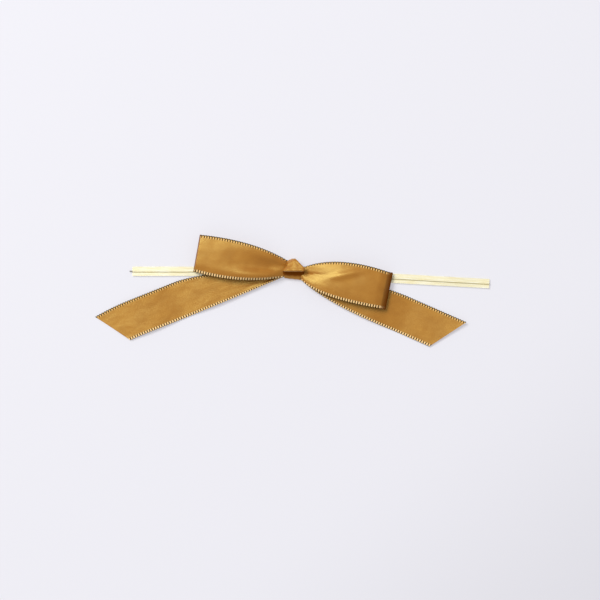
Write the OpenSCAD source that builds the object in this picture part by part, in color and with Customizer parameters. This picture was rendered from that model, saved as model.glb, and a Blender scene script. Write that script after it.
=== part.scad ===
// Pre-tied satin gift bow on a metallic twist tie, in millimetres. The bow lies on its back.
// The origin is on the back of the knot, X runs along the tie, and Z points out of the front.

/* [Ribbon] */
// Width of the satin ribbon
ribbon_w = 16; // [15:0.25:17]
// Thickness of one layer of ribbon
ribbon_t = 0.3; // [0.2:0.05:0.35]

/* [Loops] */
// Distance from the middle of the knot to the folded end of a loop
loop_reach = 42.4; // [38:0.2:44]
// Angle by which the left loop rises above the line of the tie
loop_left_rise = 10.2; // [6:0.2:12]
// Angle by which the right loop falls below the line of the tie
loop_right_fall = 11.6; // [8:0.2:13]
// Height of the front layer at the puffed part of a loop
loop_puff_h = 6.2; // [5.6:0.1:7]
// Height of the front layer at the folded end of a loop
loop_fold_h = 4.4; // [3.8:0.1:5.2]

/* [Tails] */
// Angle of the left tail below the line of the tie
tail_left_fall = 21.8; // [20:0.2:26]
// Angle of the right tail below the line of the tie
tail_right_fall = 23.7; // [22:0.2:28]
// Distance from the middle of the knot to the long corner of the left tail
tail_left_reach = 87.3; // [76:0.5:92]
// Distance from the middle of the knot to the long corner of the right tail
tail_right_reach = 77.6; // [74:0.5:92]
// How much longer the upper edge of a tail is than its lower edge, at the slanted cut
tail_cut = 10.4; // [0:0.2:14]

/* [Knot] */
// Height of the knot above the surface it rests on
knot_h = 6.7; // [6.2:0.1:7.2]

/* [Twist tie] */
// Width of the twist tie
tie_w = 4; // [3.6:0.1:4.1]
// Diameter of the wire inside the tie
wire_d = 0.5; // [0.4:0.05:0.5]
// Thickness of each film of the tie
film_t = 0.1; // [0.05:0.01:0.12]
// Length of the tie to the left of the knot's middle
tie_left_len = 70.3; // [60:0.5:90]
// Length of the tie to the right of the knot's middle
tie_right_len = 84.7; // [60:0.5:90]

/* [Hidden] */

ribbon_gold = "#c08a44";
ribbon_shade = "#8a5a20";
film_gold = "#ecd9a4";
steel = "#8f9296";
$fn = 32;

// Knot: outline seen from the front, and the section of the wrapped band across the tie
knot_outline = [[-2.8, 3.9], [0.5, 4.2], [4.8, 0.8], [4.2, -4.8], [-4.4, -3.8], [-4.2, -0.1]];
band_section = [[-4.9, 0], [4.3, 0], [4.3, 2.6], [3.3, 5], [-0.7, knot_h], [-4.2, 4.2], [-4.9, 2.2]];
band_centre = [-0.4, 3];
band_inside = 0.88;
band_hole = [for (p = band_section) band_centre + (p - band_centre) * band_inside];
knot_reach = 12;

// Tie: it leans by a few degrees at the knot, and its left leg runs straight along X
tie_lean = -3.2;
tie_z = 0.8;
tie_mid_y = -1.6;
bend_at = 11;
crease_at = 29;
bend_gap = 0.9;
rib_half = wire_d / 2 + film_t;
slot_clearance = 0.25;
slot_top = tie_z + rib_half + 0.1;
left_leg_y = tie_mid_y + bend_at * tan(-tie_lean);

// Tails: the height where they leave the knot and where they lie, and the bend between them
tail_high_z = 1.6;
tail_low_z = ribbon_t / 2 + 0.05;
tail_drop_start = 38;
tail_bend_at = 50;
tail_bend_gap = 0.5;
tail_left_shift = 5.8;
tail_right_shift = 0.95;
tail_steps = 14;

// Loops: the height of the back layer, the fold, and how far the layers start from the knot
loop_neck_at = 5.4;
loop_neck_h = 5.3;
loop_back_h = 2.25;
loop_shift = -0.85;
loop_steps = 12;
fold_steps = 6;

function mix(a, b, t) = a + (b - a) * t;
function ease(t) = let (c = min(1, max(0, t))) c * c * (3 - 2 * c);
function arc(a, b, c, t) = mix(mix(a, b, t), mix(b, c, t), t);

// Triangles of a closed strip that has four points at each of n stations
function strip_faces(n) = concat(
    [[0, 1, 2], [0, 2, 3]],
    [for (i = [0 : n - 2]) for (j = [0 : 3])
        let (here = 4 * i + j, beside = 4 * i + (j + 1) % 4)
        each [[here, here + 4, beside + 4], [here, beside + 4, beside]]],
    [[4 * n - 1, 4 * n - 2, 4 * n - 3], [4 * n - 1, 4 * n - 3, 4 * n - 4]]
);

// A flat strip from pairs of edge points; the section runs along the ruling of each pair
module flat_strip(pairs) {
    lift = [0, 0, ribbon_t / 2];
    points = [for (p = pairs) each [p[0] + lift, p[1] + lift, p[1] - lift, p[0] - lift]];
    polyhedron(points, strip_faces(len(pairs)));
}

// Height of the middle of a tail at distance a from the knot
function tail_z(a) = mix(tail_high_z, tail_low_z,
    ease((a - tail_drop_start) / (tail_bend_at - tail_drop_start)));

// The near part of a tail, widening from its neck to the full width of the ribbon. Edges are
// arcs in the tail's own plane: x runs down the tail and y towards its upper edge.
module near_tail(neck_up, neck_low, lean_up, lean_low, shift) {
    end = tail_bend_at - tail_bend_gap / 2;
    full_up = [end, shift + ribbon_w / 2];
    full_low = [end, shift - ribbon_w / 2];
    flat_strip([for (i = [0 : tail_steps])
        let (t = i / tail_steps,
             up = arc(neck_up, lean_up, full_up, t),
             low = arc(neck_low, lean_low, full_low, t))
        [[up.x, up.y, tail_z(up.x)], [low.x, low.y, tail_z(low.x)]]]);
}

// The free end of a tail: a flat strip with a slanted cut
module tail_end(reach, shift) {
    start = tail_bend_at + tail_bend_gap / 2;
    up = shift + ribbon_w / 2;
    low = shift - ribbon_w / 2;
    translate([0, 0, tail_low_z - ribbon_t / 2])
        linear_extrude(ribbon_t)
            polygon([[start, low], [reach - tail_cut, low], [reach, up], [start, up]]);
}

// Turns a tail from its own plane to its place beside the knot
module place_left_tail() { rotate(tail_left_fall) mirror([1, 0]) children(); }
module place_right_tail() { rotate(-tail_right_fall) children(); }

// Heights of the middle of a loop's two layers, from the neck at u = 0 to the fold at u = 1
function front_h(u) = mix(loop_neck_h, loop_puff_h, ease(u / 0.22)) - (loop_puff_h - loop_fold_h)
    * ease((u - 0.22) / 0.78);
function back_h(u) = loop_back_h + 0.25 * sin(180 * u);

// A loop of ribbon: out along the front, round the fold and back along the rear. The edges are
// arcs in the loop's own plane: x runs out from the knot and y towards its upper edge.
module ribbon_loop(neck_up, neck_low, lean_up, lean_low) {
    radius = (loop_fold_h - loop_back_h) / 2;
    end = loop_reach - radius - ribbon_t / 2;
    full_up = [end, loop_shift + ribbon_w / 2];
    full_low = [end, loop_shift - ribbon_w / 2];
    rail = concat(
        [for (i = [0 : loop_steps]) let (u = i / loop_steps) [u, 0, front_h(u)]],
        [for (i = [1 : fold_steps - 1]) let (a = 90 - 180 * i / fold_steps)
            [1, radius * cos(a), loop_back_h + radius + radius * sin(a)]],
        [for (i = [loop_steps : -1 : 0]) let (u = i / loop_steps) [u, 0, back_h(u)]]
    );
    centre = [for (r = rail) [mix(neck_up.x, end, r[0]) + r[1], r[2]]];
    last = len(rail) - 1;
    points = [for (i = [0 : last])
        let (r = rail[i],
             along = centre[min(last, i + 1)] - centre[max(0, i - 1)],
             out = [-along[1], along[0]] / norm(along) * ribbon_t / 2,
             up = arc(neck_up, lean_up, full_up, r[0]),
             low = arc(neck_low, lean_low, full_low, r[0]))
        each [[up.x + r[1] + out[0], up.y, r[2] + out[1]],
              [low.x + r[1] + out[0], low.y, r[2] + out[1]],
              [low.x + r[1] - out[0], low.y, r[2] - out[1]],
              [up.x + r[1] - out[0], up.y, r[2] - out[1]]]];
    polyhedron(points, strip_faces(len(rail)));
}

module place_left_loop() { rotate(-loop_left_rise) mirror([1, 0]) children(); }
module place_right_loop() { rotate(-loop_right_fall) children(); }

// A bar along the tie with the given outline in section, cut to the outline of the knot
module within_knot(section) {
    intersection() {
        rotate([90, 0, 90])
            linear_extrude(2 * knot_reach, center = true) polygon(section);
        linear_extrude(knot_reach) polygon(knot_outline);
    }
}

module knot_band() {
    color(ribbon_gold) difference() {
        within_knot(band_section);
        rotate([90, 0, 90])
            linear_extrude(2 * knot_reach, center = true) polygon(band_hole);
    }
}

// The gathered ribbon that the band is wrapped round, with a slot for the tie behind it
module knot_core() {
    slot_w = tie_w + 2 * slot_clearance;
    color(ribbon_shade) difference() {
        within_knot(band_hole);
        translate([0, tie_mid_y, 0]) rotate(tie_lean)
            translate([-knot_reach, -slot_w / 2, 0]) cube([2 * knot_reach, slot_w, slot_top]);
    }
}

module loop_left() {
    color(ribbon_gold) place_left_loop()
        ribbon_loop([loop_neck_at, 3.2], [loop_neck_at, -3.9], [15.3, 5.7], [20.6, -10]);
}

module loop_right() {
    color(ribbon_gold) place_right_loop()
        ribbon_loop([loop_neck_at, 1.2], [loop_neck_at, -3], [16.2, 10.7], [14.3, -9.8]);
}

module tail_left() {
    color(ribbon_gold) place_left_tail()
        near_tail([4.4, 2.2], [6, -1.6], [40, 13], [28, -2.2], tail_left_shift);
}

module tail_left_end() {
    color(ribbon_gold) place_left_tail() tail_end(tail_left_reach, tail_left_shift);
}

module tail_right() {
    color(ribbon_gold) place_right_tail()
        near_tail([5.8, 1.3], [7, -2.4], [30, 8.5], [16.8, -8.5], tail_right_shift);
}

module tail_right_end() {
    color(ribbon_gold) place_right_tail() tail_end(tail_right_reach, tail_right_shift);
}

// Outline in section of the film on one face of the tie, with a rib over the wire
function film_section(side) =
    let (half = tie_w / 2,
         seat = wire_d / 2 + 0.01,
         foot = wire_d * 0.9,
         crown = wire_d * 0.5)
    [for (p = [[-half, 0], [-foot, 0], [-crown, seat], [crown, seat], [foot, 0], [half, 0],
               [half, film_t], [foot + film_t / 2, film_t], [crown + film_t / 2, seat + film_t],
               [-crown - film_t / 2, seat + film_t], [-foot - film_t / 2, film_t],
               [-half, film_t]])
        [p.x, side * p.y]];

module tie_film(from, to, side) {
    translate([from, 0, tie_z]) rotate([90, 0, 90])
        linear_extrude(to - from) polygon(film_section(side));
}

module tie_wire(from, to) {
    translate([from, 0, tie_z]) rotate([0, 90, 0]) cylinder(h = to - from, d = wire_d);
}

// The three layers of one stretch of the tie: "wire", "front" or "back"
module tie_layer(layer, from, to) {
    if (layer == "wire") color(steel) tie_wire(from, to);
    if (layer == "front") color(film_gold) tie_film(from, to, 1);
    if (layer == "back") color(film_gold) tie_film(from, to, -1);
}

module leaning_stretch(layer, from, to) {
    translate([0, tie_mid_y, 0]) rotate(tie_lean)
        tie_layer(layer, from, to);
}

module level_stretch(layer, from, to) {
    translate([0, left_leg_y, 0]) tie_layer(layer, from, to);
}

module tie_centre(layer) {
    end = bend_at - bend_gap / 2;
    leaning_stretch(layer, -end, end);
}

module tie_left(layer) {
    level_stretch(layer, -crease_at + bend_gap / 2, -bend_at - bend_gap / 2);
}

module tie_left_tip(layer) { level_stretch(layer, -tie_left_len, -crease_at - bend_gap / 2); }

module tie_right(layer) {
    leaning_stretch(layer, bend_at + bend_gap / 2, crease_at - bend_gap / 2);
}

module tie_right_tip(layer) { leaning_stretch(layer, crease_at + bend_gap / 2, tie_right_len); }

knot_band();
knot_core();
loop_left();
loop_right();
tail_left();
tail_left_end();
tail_right();
tail_right_end();
tie_centre("wire");  // tie_wire_centre
tie_centre("front");  // tie_front_film_centre
tie_centre("back");  // tie_back_film_centre
tie_left("wire");  // tie_wire_left
tie_left("front");  // tie_front_film_left
tie_left("back");  // tie_back_film_left
tie_left_tip("wire");  // tie_wire_left_tip
tie_left_tip("front");  // tie_front_film_left_tip
tie_left_tip("back");  // tie_back_film_left_tip
tie_right("wire");  // tie_wire_right
tie_right("front");  // tie_front_film_right
tie_right("back");  // tie_back_film_right
tie_right_tip("wire");  // tie_wire_right_tip
tie_right_tip("front");  // tie_front_film_right_tip
tie_right_tip("back");  // tie_back_film_right_tip
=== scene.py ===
import math
import bmesh
import bpy
from mathutils import Matrix, Vector


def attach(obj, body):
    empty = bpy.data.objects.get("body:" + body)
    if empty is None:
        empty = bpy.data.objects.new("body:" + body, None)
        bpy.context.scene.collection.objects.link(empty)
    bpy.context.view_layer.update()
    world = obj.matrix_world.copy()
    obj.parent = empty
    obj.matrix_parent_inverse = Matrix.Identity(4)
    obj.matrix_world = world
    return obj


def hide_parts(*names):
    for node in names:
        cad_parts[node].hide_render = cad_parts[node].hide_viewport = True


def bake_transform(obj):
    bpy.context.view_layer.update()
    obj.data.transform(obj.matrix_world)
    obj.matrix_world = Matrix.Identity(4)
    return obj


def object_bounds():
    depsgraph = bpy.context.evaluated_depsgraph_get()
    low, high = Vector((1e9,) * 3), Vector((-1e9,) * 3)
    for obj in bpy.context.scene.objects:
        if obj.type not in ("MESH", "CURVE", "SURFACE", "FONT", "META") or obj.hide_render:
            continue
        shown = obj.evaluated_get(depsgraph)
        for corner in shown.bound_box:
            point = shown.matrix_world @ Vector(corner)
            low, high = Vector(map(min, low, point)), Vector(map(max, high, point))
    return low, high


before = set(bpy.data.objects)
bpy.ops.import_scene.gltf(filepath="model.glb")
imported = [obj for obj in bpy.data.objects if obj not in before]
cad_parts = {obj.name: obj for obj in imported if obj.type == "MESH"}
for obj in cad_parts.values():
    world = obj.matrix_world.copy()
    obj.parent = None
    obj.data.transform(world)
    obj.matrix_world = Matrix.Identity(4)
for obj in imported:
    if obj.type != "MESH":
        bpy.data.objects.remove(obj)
cad_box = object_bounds()
MM = 0.001

# ---------------------------------------------------------------------------------------------
# The table and the light. The bow lies on a white table whose glow is painted light: it washes out
# the shadows, and it is painted darker towards the lower right, away from the lamp. Above it are a
# large soft lamp at its upper left and a white room.

view_middle = Vector((2.8, -13.4, 0)) * MM
view_width = 259.4 * MM
camera_height = 1.4
sensor_width = 36
table_half = 2.5
table_gap = 0.02 * MM
table_grey = (0.42, 0.417, 0.43)
painted_glow_near_lamp = (0.38, 0.375, 0.41)
painted_glow_far = (0.30, 0.295, 0.325)

camera = bpy.data.objects.new("camera", bpy.data.cameras.new("camera"))
bpy.context.collection.objects.link(camera)
camera.location = view_middle + Vector((0, 0, camera_height))
camera.data.sensor_width = sensor_width
camera.data.lens = sensor_width * camera_height / view_width
camera.data.clip_end = 10
bpy.context.scene.camera = camera

bpy.context.scene.view_settings.view_transform = "Standard"
bpy.context.scene.view_settings.look = "None"

world = bpy.data.worlds.new("white_room")
world.use_nodes = True
world.node_tree.nodes["Background"].inputs["Color"].default_value = (0.97, 0.97, 1.0, 1)
world.node_tree.nodes["Background"].inputs["Strength"].default_value = 0.46
bpy.context.scene.world = world


def add_lamp(name, place, size, power):
    """A square soft lamp aimed at the middle of the bow."""
    light = bpy.data.lights.new(name, "AREA")
    light.size = size
    light.energy = power
    lamp = bpy.data.objects.new(name, light)
    lamp.location = place
    lamp.rotation_euler = (-Vector(place)).to_track_quat("-Z", "Y").to_euler()
    bpy.context.collection.objects.link(lamp)


add_lamp("key_lamp", place=(-0.85, 0.8, 1.6), size=0.85, power=33)
add_lamp("top_lamp", place=(-0.3, 0.2, 2.4), size=1.2, power=4)


class Wire:
    """An output of a material's node, with arithmetic that adds Math nodes to the material."""

    def __init__(self, finish, socket):
        self.finish = finish
        self.socket = socket

    def math(self, operation, *others):
        values = dict(enumerate((self,) + others))
        return self.finish.node("ShaderNodeMath", {"operation": operation}, values)[0]

    def __add__(self, other):
        return self.math("ADD", other)

    def __mul__(self, other):
        return self.math("MULTIPLY", other)

    def __sub__(self, other):
        return self.math("SUBTRACT", other)

    def __rsub__(self, other):
        return self * -1 + other

    __radd__ = __add__

    def sin(self):
        return self.math("SINE")

    def smaller(self, other):
        return self.math("MINIMUM", other)

    def step(self, low, high):
        """0 below low and 1 above high, with a smooth rise between them."""
        settings = {"interpolation_type": "SMOOTHSTEP"}
        values = {"Value": self, "From Min": low, "From Max": high}
        return self.finish.node("ShaderNodeMapRange", settings, values)[0]


class Finish:
    """A material that is being built, and the one call that adds a node to it."""

    def __init__(self, name):
        self.material = bpy.data.materials.new(name)
        self.material.use_nodes = True
        self.tree = self.material.node_tree
        self.shader = self.tree.nodes["Principled BSDF"]

    def node(self, kind, settings, sockets):
        """Adds a node and returns its outputs that are switched on."""
        made = self.tree.nodes.new(kind)
        for key, value in settings.items():
            setattr(made, key, value)
        for key, value in sockets.items():
            self.put(made.inputs[key], value)
        return [Wire(self, out) for out in made.outputs if out.enabled]

    def put(self, socket, value):
        if isinstance(value, Wire):
            self.tree.links.new(value.socket, socket)
        elif isinstance(value, tuple) and len(value) == 3 and socket.type == "RGBA":
            socket.default_value = value + (1,)
        else:
            socket.default_value = value

    def surface(self, **sockets):
        """Sets the shader's sockets, named as in the shader with _ for a space."""
        for key, value in sockets.items():
            self.put(self.shader.inputs[key.replace("_", " ")], value)

    def dull(self, colour, share):
        """Fades the shader into a matte colour."""
        matte = self.node("ShaderNodeBsdfDiffuse", {}, {"Color": colour})[0]
        glossy = Wire(self, self.shader.outputs["BSDF"])
        blend = self.node("ShaderNodeMixShader", {}, {0: share, 1: glossy, 2: matte})[0]
        self.put(self.tree.nodes["Material Output"].inputs["Surface"], blend)

    def mix(self, low, high, share):
        """A blend of two colours."""
        settings = {"data_type": "RGBA", "clamp_factor": True}
        return self.node("ShaderNodeMix", settings, {0: share, 6: low, 7: high})[0]

    def noise(self, place, scale, detail=2.0):
        sockets = {"Vector": place, "Scale": scale, "Detail": detail}
        return self.node("ShaderNodeTexNoise", {}, sockets)[0]

    def bump(self, height, distance, under=None):
        sockets = {"Height": height, "Distance": distance, "Strength": 1.0}
        if under is not None:
            sockets["Normal"] = under
        return self.node("ShaderNodeBump", {}, sockets)[0]

    def uv(self, name):
        """The named UV map as a vector, and its two numbers."""
        place = self.node("ShaderNodeUVMap", {"uv_map": name}, {})[0]
        along, across, _ = self.node("ShaderNodeSeparateXYZ", {}, {"Vector": place})
        return place, along, across

    def stretched(self, place, factors):
        sockets = {0: place, 1: factors}
        return self.node("ShaderNodeVectorMath", {"operation": "MULTIPLY"}, sockets)[0]


def finished(bm, name):
    """The mesh of a bmesh that isn't needed any more."""
    mesh = bpy.data.meshes.new(name)
    bm.to_mesh(mesh)
    bm.free()
    return mesh


table = Finish("glowing_table")
spot = table.node("ShaderNodeTexCoord", {}, {})[3]
right, up, _ = table.node("ShaderNodeSeparateXYZ", {}, {"Vector": spot})
# Painted light: the table's glow fades from the lamp's side to darker towards the lower right.
painted_falloff = (right * 0.8 - up).step(0.1, 0.27)
table.surface(
    Base_Color=table_grey,
    Roughness=0.85,
    Specular_IOR_Level=0.2,
    Emission_Color=table.mix(painted_glow_near_lamp, painted_glow_far, painted_falloff),
    Emission_Strength=1.0,
)

bm = bmesh.new()
bmesh.ops.create_grid(bm, x_segments=1, y_segments=1, size=table_half)
floor_mesh = finished(bm, "table")
floor_mesh.transform(Matrix.Translation((0, 0, cad_box[0][2] - table_gap)))
floor_mesh.materials.append(table.material)
floor = bpy.data.objects.new("table", floor_mesh)
bpy.context.collection.objects.link(floor)

# ---------------------------------------------------------------------------------------------
# The satin ribbon. One strip of gold-brown polyester satin with a woven picot edge makes the
# whole bow: tail, loop, knot, loop, tail. Its weave is drawn on a UV map in millimetres, with
# U along the ribbon and V across it. A second map says how much painted shade a point gets, in a
# hard crease or under the knot's fold.

ribbon_width = 16
ribbon_thickness = 0.18
picot_pitch = 1.13
picot_band = 1.2
picot_depth = 0.16
warp_pitch = 0.17
picot_reach = 0.5
tooth_height = 0.07
tooth_starts = 0.15
tooth_ends = 0.8
tooth_fade = 0.3
ribbon_columns = 46
row_length = 0.2

satin_gold = (0.37, 0.128, 0.015)
satin_light = (0.42, 0.168, 0.022)
satin_deep = (0.30, 0.096, 0.010)
# Painted light and shade on the picot teeth: lit teeth, teeth on the shaded edge, and near-black
# shade in the gaps.
picot_painted_highlight = (0.88, 0.57, 0.27)
picot_painted_shaded = (0.74, 0.41, 0.14)
picot_gap_painted_shade = (0.045, 0.012, 0.001)
crease_painted_shade = (0.16, 0.042, 0.003)
highlight_gold = (0.97, 0.86, 0.28, 1)

satin = Finish("gold_satin")
weave, along, across = satin.uv("weave")
edge = across.smaller(ribbon_width - across)
body = edge.step(picot_band * 0.86, picot_band)
# Painted light and shade on the picot: the teeth are painted light, as if lit, and on the edge
# turned away from the lamp they stand out less and are painted duller, as if shaded. The gaps
# between the teeth and the very edge are painted near-black shade.
upper = across.step(ribbon_width / 2 - 1, ribbon_width / 2 + 1)
hem = (edge - upper * 0.2).step(0.08, 0.22)
tooth = (along * (2 * math.pi / picot_pitch)).sin().step(-0.15, 0.25) * hem
cloudy = satin.noise(satin.stretched(weave, (0.11, 0.16, 0)), 1.0)
fine = satin.noise(satin.stretched(weave, (0.5, 7.0, 0)), 1.0, 3.0)
rumple = satin.noise(satin.stretched(weave, (0.17, 0.24, 0)), 1.0, 1.0)
tone = satin.mix(satin_deep, satin_light, cloudy.step(0.28, 0.74))
tone = satin.mix(tone, satin_gold, 0.55)
threaded = satin.mix(tone, satin_deep, fine.step(0.52, 0.8) * 0.35)
picot_light_and_shade = satin.mix(picot_gap_painted_shade, satin.mix(picot_painted_highlight, picot_painted_shaded, upper), tooth)
satin_colour = satin.mix(picot_light_and_shade, threaded, body)
crease = satin.uv("crease")[1]
warp = (across * (2 * math.pi / warp_pitch)).sin()
relief = warp * 0.25 + fine
satin_normal = satin.bump(rumple, 0.2 * MM, satin.bump(relief, 0.012 * MM))
satin.surface(
    Base_Color=satin_colour,
    Metallic=(1 - body) * (1 - tooth) * 0.4,
    Roughness=0.35 + fine * 0.10 + (1 - body) * 0.25,
    IOR=1.62,
    Specular_IOR_Level=1.0,
    Specular_Tint=highlight_gold,
    Normal=satin_normal,
)
# Painted shade: the shader fades into a matte dark brown along the loops' fold creases and in the
# recess under the knot's hard fold.
satin.dull(crease_painted_shade, crease)

# ---------------------------------------------------------------------------------------------
# What the pieces share. Ribbon and film are both strips: a grid whose points a function puts in
# place from their share of the length and of the width, and which is then given its thickness.

crowding = 0.1
sharp_angle = math.radians(55)


def mix(low, high, share):
    return low + (high - low) * share


def ease(share):
    """0 below 0 and 1 above 1, with a smooth rise between them."""
    share = min(1.0, max(0.0, share))
    return share * share * (3 - 2 * share)


def arc(start, lean, end, x):
    """The Y at x of a curve from start to end that leans towards a third point."""
    bend = start[0] - 2 * lean[0] + end[0]
    slope = 2 * (lean[0] - start[0])
    t = 2 * (x - start[0]) / (slope + math.sqrt(slope ** 2 + 4 * bend * (x - start[0])))
    return mix(mix(start[1], lean[1], t), mix(lean[1], end[1], t), t)


def crowd(share):
    """Crowds the columns of a grid towards the two edges of the ribbon."""
    return share - crowding * math.sin(2 * math.pi * share)


def near_edge(v):
    """0 in the middle of the ribbon's width and 1 at its two edges."""
    return abs(2 * v - 1) ** 2.5


def turned(side, turn, x, y, height=0):
    """A point of a loop's or a tail's own plane, where X leads away from the knot."""
    return Vector((side * (x * math.cos(turn) + y * math.sin(turn)),
                   -x * math.sin(turn) + y * math.cos(turn), height))


def keep(name, mesh, material):
    """A finished mesh as a piece of the model."""
    mesh.shade_smooth()
    mesh.set_sharp_from_angle(angle=sharp_angle)
    mesh.materials.append(material)
    piece = bpy.data.objects.new(name, mesh)
    bpy.context.collection.objects.link(piece)
    return piece


def thicken(mesh, thickness):
    """Gives a sheet its thickness, half on each side, and returns the new mesh."""
    sheet = bpy.data.objects.new("sheet", mesh)
    bpy.context.collection.objects.link(sheet)
    wall = sheet.modifiers.new("thickness", "SOLIDIFY")
    wall.thickness = thickness * MM
    wall.offset = 0
    solid = sheet.evaluated_get(bpy.context.evaluated_depsgraph_get())
    result = bpy.data.meshes.new_from_object(solid)
    bpy.data.objects.remove(sheet)
    return result


def strip(name, rows, columns, place, thickness, flipped=False, round_edges=crowd):
    """A strip as a mesh. place turns (share of the length, share of the width) into a point and
    its UV, all in millimetres, and how much painted crease shade it gets, from 0 to 1."""
    bm = bmesh.new()
    bmesh.ops.create_grid(bm, x_segments=rows, y_segments=columns, size=0.5)
    uv = bm.loops.layers.uv.new("weave")
    depth = bm.loops.layers.uv.new("crease")
    spots = {v: place(v.co.x + 0.5, round_edges(v.co.y + 0.5)) for v in bm.verts}
    for face in bm.faces:
        for loop in face.loops:
            loop[uv].uv = spots[loop.vert][1]
            loop[depth].uv = (spots[loop.vert][2], 0)
    for vert, spot in spots.items():
        vert.co = spot[0] * MM
    if flipped:
        bmesh.ops.reverse_faces(bm, faces=bm.faces)
    return thicken(finished(bm, name), thickness)


def picot(length_at, edge_share):
    """How far the ribbon's edge stands out at a tooth of its picot, in millimetres."""
    near = 1 - min(1.0, min(edge_share, 1 - edge_share) * ribbon_width / picot_reach)
    return picot_depth * near * math.sin(2 * math.pi * length_at / picot_pitch)


def rib(length_at, edge_share):
    """The height of the picot's ribs above the ribbon, in millimetres."""
    distance = min(edge_share, 1 - edge_share) * ribbon_width
    band = ease(distance / tooth_starts) * (1 - ease((distance - tooth_ends) / tooth_fade))
    return tooth_height * band * math.sin(2 * math.pi * length_at / picot_pitch)


# ---------------------------------------------------------------------------------------------
# The two loops. Each is a stretch of the ribbon about 82 mm long that leaves the knot, folds
# back on itself and returns behind. It is pinched at the knot, so it puffs up and creases there.

loop_reach = 42.4
loop_fold_h = 5.7
loop_back_h = 2.3
loop_crease_h = 0.2
loop_neck_at = 3.2
loop_neck_h = 3.1
loop_puff_h = 6.2
loop_puff_at = 22
loop_rest_at = 29
loop_rise_from = 3.5
loop_fall_past_fold = 4
loop_end_gap = 0.1
loop_droop_length = 3.5
loop_gather_from = 4
loop_gather_length = 26
loop_sag_far = 0.7
loop_sag_near = 1.3
loop_back_sag = 0.25
crease_shade_width = 2.9
crease_shade_widening = 2.6
square_fold_depth = 0.6


def front_height(at, fold_at):
    """Height of the front layer at a distance from the knot's middle."""
    risen = max(0.0, at - loop_rise_from) / (loop_puff_at - loop_rise_from)
    rise = 1 - (1 - min(1.0, risen)) ** 2
    fall = ease((at - loop_rest_at) / (fold_at + loop_fall_past_fold - loop_rest_at))
    return mix(loop_neck_h, loop_puff_h, rise) - (loop_puff_h - loop_fold_h) * fall


def fold_shape(front):
    """How far the folded end stands out, from 0 at the front and back layer to 1 at the crease."""
    if front > loop_crease_h:
        return 1 - ((front - loop_crease_h) / (1 - loop_crease_h)) ** 1.25
    return math.sqrt(1 - (1 - front / loop_crease_h) ** 2)


def make_loop(name, body, side, turn, shift, neck, leans, fold_depth, droop, relief):
    """A loop as one strip. neck and leans hold the upper and lower edge in the loop's own plane,
    fold_depth is the length of its slanted end, droop how far the front layer turns down before
    it, and relief gives the dents near the knot."""
    half = ribbon_width / 2
    fold_at = loop_reach - fold_depth - loop_end_gap
    front_length = fold_at - loop_neck_at
    fold_length = 2 * fold_depth + loop_fold_h - loop_back_h
    loop_length = 2 * front_length + fold_length
    ends = (fold_at, shift + half), (fold_at, shift - half)
    crease_at = math.acos(2 * loop_crease_h - 1) / math.pi
    crease_shade_reach = crease_shade_width + crease_shade_widening * (fold_depth - square_fold_depth)

    def place(share, v):
        distance = share * loop_length
        v = 1 - v
        if distance < front_length:
            at, past, front = loop_neck_at + distance, 0, 1
        elif distance > front_length + fold_length:
            at, past, front = loop_neck_at + loop_length - distance, 0, 0
        else:
            angle = (distance - front_length) / fold_length * math.pi
            front = 0.5 + 0.5 * math.cos(angle)
            at, past = fold_at, fold_depth * fold_shape(front)
        up, low = (arc((loop_neck_at, y), lean, end, at) for y, lean, end in zip(neck, leans, ends))
        y = mix(low, up, v) + picot(distance, v) * (1 if v > 0.5 else -1)
        near_knot = 1 - ease((at - loop_gather_from) / loop_gather_length)
        sag = near_edge(v)
        drooping = max(0.0, (at + loop_droop_length - fold_at) / loop_droop_length)
        height = front_height(at, fold_at) - droop * drooping ** 2
        height += relief(at, v) - sag * mix(loop_sag_far, loop_sag_near, near_knot)
        height = mix(loop_back_h + loop_back_sag * sag * near_knot, height, front)
        height += rib(distance, v) * (1 if front > 0.5 else -1)
        point = turned(side, turn, at + past, y, height)
        # Painted shade: a dark matte band along the fold's crease, wider on a deeper fold.
        in_crease = abs(distance - front_length - fold_length * crease_at) / crease_shade_reach
        return point, (distance, v * ribbon_width), 1 - ease(in_crease)

    mesh = strip(name, round(loop_length / row_length), ribbon_columns, place,
                 ribbon_thickness, flipped=side > 0)
    piece = keep(name, mesh, satin.material)
    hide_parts(body)
    aim = turned(side, turn, 1, 0)
    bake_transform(piece)


def swelling(at, v, peak_at, peak_v, reach, spread):
    """A soft mound of height 1 on a loop, around a distance from the knot and a share."""
    return math.exp(-((at - peak_at) / reach) ** 2 - ((v - peak_v) / spread) ** 2)


def left_relief(at, v):
    """The upper edge stands up, the middle is dished, and a low ridge follows the lower edge."""
    ridge, dish = 0.13, 0.44
    if v < dish:
        wave = math.cos(math.pi * (v - ridge) / (dish - ridge))
    else:
        wave = -math.cos(math.pi * (v - dish) / (1 - dish))
    depth = 1.05 * ease((at - 3) / 8) * (1 - ease((at - 14) / 20))
    fan = 0.2 * math.cos(5 * math.pi * v) * (1 - ease((at - 4) / 12))
    tuck = 0.25 * ease(1 - v / 0.24) * ease((at - 8) / 8)
    return depth * wave + fan - tuck


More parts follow.
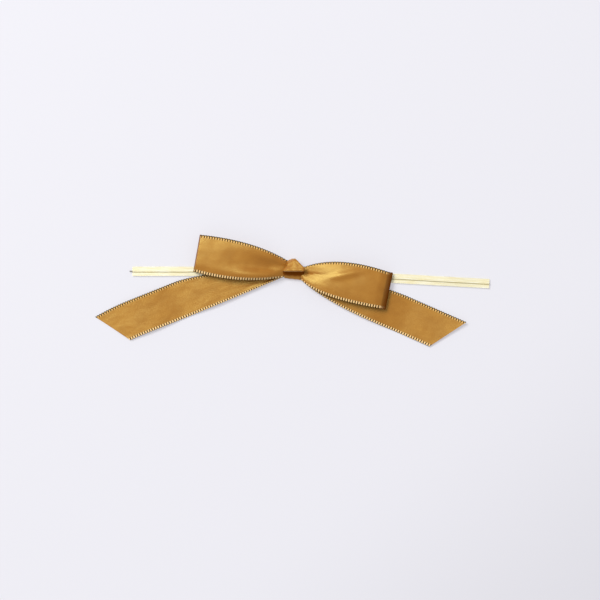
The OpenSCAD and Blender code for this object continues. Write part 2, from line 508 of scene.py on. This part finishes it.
def right_relief(at, v):
    """A thin pinch runs from the middle of the knot. The lobe under it stands high down to its
    edge, the one above it lies lower, and a soft ridge carries on from the end of the pinch."""
    valley, pinch_width = 0.58, 0.03
    near = ease((at - 3) / 3)
    pinch = -0.55 * math.exp(-abs(v - valley) / pinch_width) * near
    pinch *= 1 - ease((at - 6) / 11)
    spread = 0.26 if v < valley else 0.5
    dip = -0.8 * math.exp(-((v - valley) / spread) ** 2) * near * (1 - ease((at - 7) / 15))
    full = 0.9 * near_edge(v) * near * (1 - ease((at - 7) / 12))
    ridge = 0.75 * swelling(at, v, 23, 0.51 + 0.023 * (at - 15), 7, 0.10)
    mound = 0.4 * swelling(at, v, 33, 0.62, 7, 0.25)
    return pinch + dip + full + ridge + mound


# ---------------------------------------------------------------------------------------------
# The two tails. Each runs from the knot, under its loop, to a slanted hot cut, and lies on the
# table beyond the loop. Each is made in two lengths that meet under the loop.

tail_high_z = 1.6
tail_low_z = 0.16
tail_drop_from = 36
tail_drop_length = 18
tail_bend_at = 50
tail_split_at = 28
tail_neck_at = 2.4
tail_cut = 10.4
tail_hook_length = 16
tail_fold_height = 0.35
tail_fold_from = 6
tail_fold_length = 26


def make_tail(side, turn, shift, reach, neck, leans, hook, lift):
    """The two lengths of a tail. shift is how far its middle line passes from the knot, reach how
    far its tip is, hook how far the tip curves aside, and lift its height over the table."""
    name = "left" if side < 0 else "right"
    half = ribbon_width / 2

    def edges(at):
        """Upper and lower edge of the tail at a distance from the knot."""
        if at >= tail_bend_at:
            return shift + half, shift - half
        return tuple(
            arc((tail_neck_at, y), lean, (tail_bend_at, shift + h), at)
            for y, lean, h in zip(neck, leans, (half, -half)))

    def point_at(at, v):
        up, low = edges(at)
        far = max(0.0, at - reach + tail_hook_length) / tail_hook_length
        y = mix(low, up, v) + picot(at, v) * (1 if v > 0.5 else -1) - hook * far * far
        narrow = 1 - (up - low) / ribbon_width
        height = mix(tail_high_z, tail_low_z, ease((at - tail_drop_from) / tail_drop_length))
        height += lift(at)
        folds = tail_fold_height * narrow * math.sin(7 * math.pi * v)
        height += folds * (1 - ease((at - tail_fold_from) / tail_fold_length))
        height += rib(at, v)
        return turned(side, turn, at, y, height)

    def root_place(share, v):
        at = mix(tail_neck_at, tail_split_at, share)
        return point_at(at, v), (at, v * ribbon_width), 0

    def end_place(share, v):
        at = mix(tail_split_at, mix(reach - tail_cut, reach, v), share)
        return point_at(at, v), (at, v * ribbon_width), 0

    aim = turned(side, turn, 1, 0)
    root_length = tail_split_at - tail_neck_at
    mesh = strip("tail", round(root_length / row_length), ribbon_columns, root_place,
                 ribbon_thickness, flipped=side < 0)
    root = keep(f"ribbon_tail_{name}_root", mesh, satin.material)
    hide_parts(f"tail_{name}")
    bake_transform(root)
    end_length = reach - tail_split_at
    mesh = strip("tail", round(end_length / row_length), ribbon_columns, end_place,
                 ribbon_thickness, flipped=side < 0)
    end = keep(f"ribbon_tail_{name}_end", mesh, satin.material)
    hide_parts(f"tail_{name}_end")
    middle = turned(side, turn, 0, 1) * shift
    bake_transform(end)


def left_lift(at):
    """A low arch along the length that lies on the table."""
    return 1.3 * math.sin(math.pi * min(1.0, max(0.0, (at - 44) / 43))) ** 2


def right_lift(at):
    """A tip that lifts a little off the table."""
    return 2.8 * ease((at - 48) / 54) + 0.1 * math.sin(at / 4) * ease((at - 50) / 10)


# ---------------------------------------------------------------------------------------------
# The knot. The ribbon is wrapped once round its own gathers and round the twist tie, folded
# narrow so that its edges are hidden, with one hard fold across the front.

knot_front = [(4.3, 2.4), (4.2, 4.2), (3.6, 5.2), (1.9, 5.9), (0.2, 6.45), (-0.65, 6.7),
              (-1.0, 6.2), (-1.0, 5.0), (-1.5, 4.0), (-2.6, 3.1), (-3.7, 2.4), (-4.4, 1.8)]
knot_back = [(-4.6, 1.0), (-4.3, 0.5), (-3.0, 0.28), (0.0, 0.26), (3.0, 0.28), (4.1, 0.5),
             (4.35, 1.3)]
knot_ring = [Vector(p) for p in knot_front + knot_back]
knot_centre = Vector((-0.4, 3.0))
wrap_thickness = 0.3
wrap_tightness = 0.42
wrap_weave_length = 30
wrap_rows = 220
wrap_columns = 44
gathers_segments = 120
gathers_rings = 40
lip_y = -0.8
gathers_inset = 0.6
gathers_base_z = 1.25
weld_distance = 0.001 * MM


def wrap_section(share):
    """A point (Y, Z) of the wrap's section, from a closed smooth curve through the ring."""
    place = share * len(knot_ring)
    i = int(place) % len(knot_ring)
    t = place - int(place)
    a, b, c, d = (knot_ring[(i + k) % len(knot_ring)] for k in (-1, 0, 1, 2))
    return (b * (2 * t ** 3 - 3 * t ** 2 + 1)
            + (c - a) * wrap_tightness * (t ** 3 - 2 * t ** 2 + t)
            + c * (-2 * t ** 3 + 3 * t ** 2)
            + (d - b) * wrap_tightness * (t ** 3 - t ** 2))


def wrap_sides(spot):
    """Left and right side of the wrap at a point of its section. It is widest at the hard fold
    and narrows to its top, and a little behind."""
    y, z = spot
    left = mix(-4.45, -2.75, ease((y + 0.9) / 4.4))
    right = mix(4.75, 1.2, max(0.0, (y - 0.6) / 3.6)) - 0.14 * max(0.0, -y - 0.7)
    behind = 1 - ease((z - 0.3) / 2.2)
    return mix(left, max(left, -3.9), behind), mix(right, min(right, 3.9), behind)


def wrap_fold(share, v):
    """A point (Y, Z) of the wrap at a share of its turn and of its width, whether it lies in the
    upper part, whose left side is rolled in, and the way to the wrap's middle."""
    spot = wrap_section(share)
    inward = (knot_centre - spot).normalized()
    upper = ease((spot.x + 0.9) / 1.2) * ease((spot.y - 3) / 1.5)
    rolled = 0.9 * upper * max(0.0, 1 - v / mix(0.22, 0.75, max(0.0, spot.x / 4.2)))
    if spot.x < lip_y:
        spot = Vector((mix(lip_y, spot.x, mix(0.80, 1.03, v)), spot.y))
    elif spot.x > 0:
        spot = Vector((spot.x * mix(0.82, 1, ease(v / 0.7)), spot.y))
    return spot + inward * rolled, upper, inward


def make_knot():
    """The wrap, narrow at its folded-in rims, with painted shade in the recess under the hard fold.
    """

    def place(share, v):
        flat = wrap_section(share)
        left, right = wrap_sides(flat)
        hollow_painted_shade = ease((-flat.x - 0.9) / 0.3) * (1 - ease((-flat.x - 2.4) / 1.8))
        hollow_painted_shade *= ease((flat.y - 2) / 1)
        spot, upper, inward = wrap_fold(share, v)
        rim = max(0.0, abs(v - 0.5) * 2 - 0.8) / 0.2
        pleats = 0.05 * math.cos(2 * math.pi * 3.5 * v) * (1 - rim) * (1 - upper)
        spot = spot + inward * (0.6 * rim ** 2.2 - pleats)
        point = Vector((mix(left, right, v), spot.x, spot.y))
        return point, (share * wrap_weave_length, mix(3.2, 12.8, v)), hollow_painted_shade

    mesh = strip("knot", wrap_rows, wrap_columns, place, wrap_thickness)
    # The wrap's two ends are welded, and a wall that this leaves between them is taken out.
    bm = bmesh.new()
    bm.from_mesh(mesh)
    bmesh.ops.remove_doubles(bm, verts=bm.verts, dist=weld_distance)
    seam = [f for f in bm.faces if sum(len(e.link_faces) > 2 for e in f.edges) > 1]
    bmesh.ops.delete(bm, geom=seam, context="FACES")
    bm.to_mesh(mesh)
    bm.free()
    knot = keep("ribbon_knot", mesh, satin.material)
    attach(knot, "bow")
    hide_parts("knot_band")


def make_gathers():
    """The bunched ribbon that fills the knot and shows at its two sides."""
    bm = bmesh.new()
    bmesh.ops.create_uvsphere(bm, u_segments=gathers_segments, v_segments=gathers_rings,
                              radius=1)
    uv = bm.loops.layers.uv.new("weave")
    for face in bm.faces:
        for loop in face.loops:
            loop[uv].uv = (loop.vert.co.z * 3, 8 + loop.vert.co.x * 4)
    for vert in bm.verts:
        angle = math.atan2(vert.co.y, vert.co.x) % (2 * math.pi)
        across = 0.5 + 0.47 * vert.co.z
        share = angle / (2 * math.pi)
        left, right = wrap_sides(wrap_section(share))
        spot, _, inward = wrap_fold(share, across)
        folds = 0.2 * math.cos(9 * angle + 9 * (1 - abs(vert.co.z)))
        spot += inward * (gathers_inset + folds) - knot_centre
        spot = knot_centre + spot * max(0.0, 1 - vert.co.z ** 2) ** 0.14
        height = max(spot.y, gathers_base_z)
        vert.co = Vector((mix(left, right, across), spot.x, height)) * MM
    bmesh.ops.recalc_face_normals(bm, faces=bm.faces)
    gathers = keep("knot_gathers", finished(bm, "gathers"), satin.material)
    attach(gathers, "bow")
    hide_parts("knot_core")


make_gathers()
make_knot()
make_loop("ribbon_loop_left", "loop_left", side=-1, turn=math.radians(-10.2), shift=-0.7,
          neck=(3.0, -3.9), leans=((19, 9.0), (20.6, -11)), fold_depth=0.6, droop=0.1,
          relief=left_relief)
make_loop("ribbon_loop_right", "loop_right", side=1, turn=math.radians(11.6), shift=-1.1,
          neck=(0.9, -3.0), leans=((16.2, 9.9), (11.5, -10.4)), fold_depth=2.3, droop=0.6,
          relief=right_relief)
make_tail(side=-1, turn=math.radians(21.8), shift=5.8, reach=87.3, neck=(1.6, -1.4),
          leans=((38, 13.75), (28, -2.2)), hook=1.2, lift=left_lift)
make_tail(side=1, turn=math.radians(23.7), shift=0.95, reach=77.6, neck=(1.0, -1.6),
          leans=((30, 8.5), (14.5, -8.2)), hook=0.0, lift=right_lift)

# ---------------------------------------------------------------------------------------------
# The twist tie. Two pale gold films are laminated over a thin annealed steel wire, which stands
# up as a rib along the middle. It runs through the knot behind the gathers, free to slide.

tie_width = 4
tie_z = 0.8
tie_wire_r = 0.25
film_thickness = 0.07
film_columns = 28
film_row_length = 0.5
tie_flat_until = 12
wire_sides = 16
tie_lean = math.radians(-3.2)
tie_mid_y = -1.6
tie_bend_at = 11
tie_crease_at = 29
tie_split_at = 20
tie_left_length = 69.6
tie_right_length = 84.7
wire_past_film = {"left": 1.2, "right": 0.1}
crease_turn = math.radians(15)
left_leg_y = tie_mid_y - tie_bend_at * math.tan(tie_lean)

film_gold = (0.83, 0.74, 0.43)
film_pale = (0.90, 0.87, 0.68)
film_rib_painted_shade = (0.50, 0.42, 0.20)
steel_dark = (0.20, 0.17, 0.14)
steel_grey = (0.32, 0.29, 0.25)

film = Finish("pale_gold_film")
foil, _, foil_across = film.uv("weave")
streaks = film.noise(film.stretched(foil, (0.15, 3.0, 0)), 1.0, 3.0)
crinkle = film.noise(film.stretched(foil, (0.35, 0.9, 0)), 1.0, 2.0)
film_tone = film.mix(film_gold, film_pale, streaks.step(0.35, 0.7))
# Painted shade: a darker band along the rib's lower side, where its shadow falls.
rib_painted_shade_band = foil_across.step(1.35, 1.5) - foil_across.step(1.6, 1.9)
film.surface(
    Base_Color=film.mix(film_tone, film_rib_painted_shade, rib_painted_shade_band * 0.9),
    Metallic=0.15,
    Roughness=0.26 + crinkle * 0.1,
    Coat_Weight=0.3,
    Coat_Roughness=0.12,
    Normal=film.bump(crinkle + streaks * 0.2, 0.006 * MM),
)

steel = Finish("annealed_wire")
mottle = steel.noise(steel.uv("weave")[0], 3.0)
steel.surface(
    Base_Color=steel.mix(steel_dark, steel_grey, mottle),
    Metallic=0.9,
    Roughness=0.5,
)


def tie_point(distance, y):
    """A point of the tie in plan, from its signed distance along the tie and its offset."""
    if distance < -tie_bend_at:
        return Vector((distance, left_leg_y + y))
    return Vector((distance * math.cos(tie_lean) - y * math.sin(tie_lean),
                   tie_mid_y + distance * math.sin(tie_lean) + y * math.cos(tie_lean)))


def rib_height(y):
    """Height of the film over the wire, at an offset from the middle of the tie."""
    return tie_wire_r * math.exp(-(abs(y) / 0.36) ** 3)


def film_strip(name, start, end, face):
    """One film of a stretch of the tie: face is 1 in front and -1 behind."""
    rows = round(abs(end - start) / film_row_length)

    def place(share, v):
        distance = mix(start, end, share)
        y = mix(-0.5, 0.5, v) * tie_width
        flat = tie_point(distance, y)
        tilt = 0.035 * math.sin(distance / 9) + 0.02 * math.sin(distance / 3.7 + 1)
        free = ease((abs(distance) - tie_flat_until) / 10)
        height = tie_z + face * (rib_height(y) + film_thickness * 0.6) + y * tilt * free
        return Vector((flat.x, flat.y, height)), (distance, y + tie_width / 2), 0

    def even(share):
        """Crowds the columns towards the rib."""
        return share + crowding * math.sin(2 * math.pi * share)

    mesh = strip(name, rows, film_columns, place, film_thickness, flipped=face < 0,
                 round_edges=even)
    return keep(name, mesh, film.material)


def wire_rod(name, start, end):
    """One stretch of the wire, with a square cut at a free end."""
    bm = bmesh.new()
    bmesh.ops.create_cone(bm, cap_ends=True, segments=wire_sides, radius1=tie_wire_r,
                          radius2=tie_wire_r, depth=1)
    lengths = [e for e in bm.edges if abs(e.verts[0].co.z - e.verts[1].co.z) > 0.5]
    rows = round(abs(end - start) / film_row_length)
    bmesh.ops.subdivide_edges(bm, edges=lengths, cuts=rows)
    uv = bm.loops.layers.uv.new("weave")
    for face in bm.faces:
        for loop in face.loops:
            loop[uv].uv = (mix(start, end, loop.vert.co.z + 0.5), loop.vert.co.x)
    for vert in bm.verts:
        flat = tie_point(mix(start, end, vert.co.z + 0.5), vert.co.x)
        vert.co = Vector((flat.x, flat.y, tie_z + vert.co.y)) * MM
    return keep(name, finished(bm, name), steel.material)


def bend_tie(piece, distance, turn):
    """Bakes a piece of the tie's transform into its mesh. It works out a line across the tie from
    distance and turn, but doesn't use it.
    """
    middle = tie_point(distance, 0)
    ahead = tie_point(distance + math.copysign(1, distance), 0) - middle
    ahead.rotate(Matrix.Rotation(turn, 2))
    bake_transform(piece)


for side, name, leg_length in ((-1, "left", tie_left_length), (1, "right", tie_right_length)):
    stretches = (
        ("root", 0, tie_split_at, "tie_centre", f"tie_{name}", tie_bend_at, 0),
        ("leg", tie_split_at, leg_length, f"tie_{name}", f"tie_{name}_tip", tie_crease_at,
         crease_turn),
    )
    for part, near, far, before, after, bend, turn in stretches:
        nodes = [name] if part == "root" else [f"{name}_tip"]
        if part == "root" and side < 0:
            nodes.append("centre")
        ends = (side * near, side * far) if side > 0 else (side * far, side * near)
        front = film_strip(f"film_front_{name}_{part}", *ends, 1)
        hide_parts(*(f"tie_front_film_{n}" for n in nodes))
        behind = film_strip(f"film_back_{name}_{part}", *ends, -1)
        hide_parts(*(f"tie_back_film_{n}" for n in nodes))
        bare = wire_past_film[name] if part == "leg" else 0
        rod = wire_rod(f"wire_{name}_{part}", ends[0] - (bare if side < 0 else 0),
                       ends[1] + (bare if side > 0 else 0))
        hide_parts(*(f"tie_wire_{n}" for n in nodes))
        for piece in (front, behind, rod):
            bend_tie(piece, side * bend, turn)
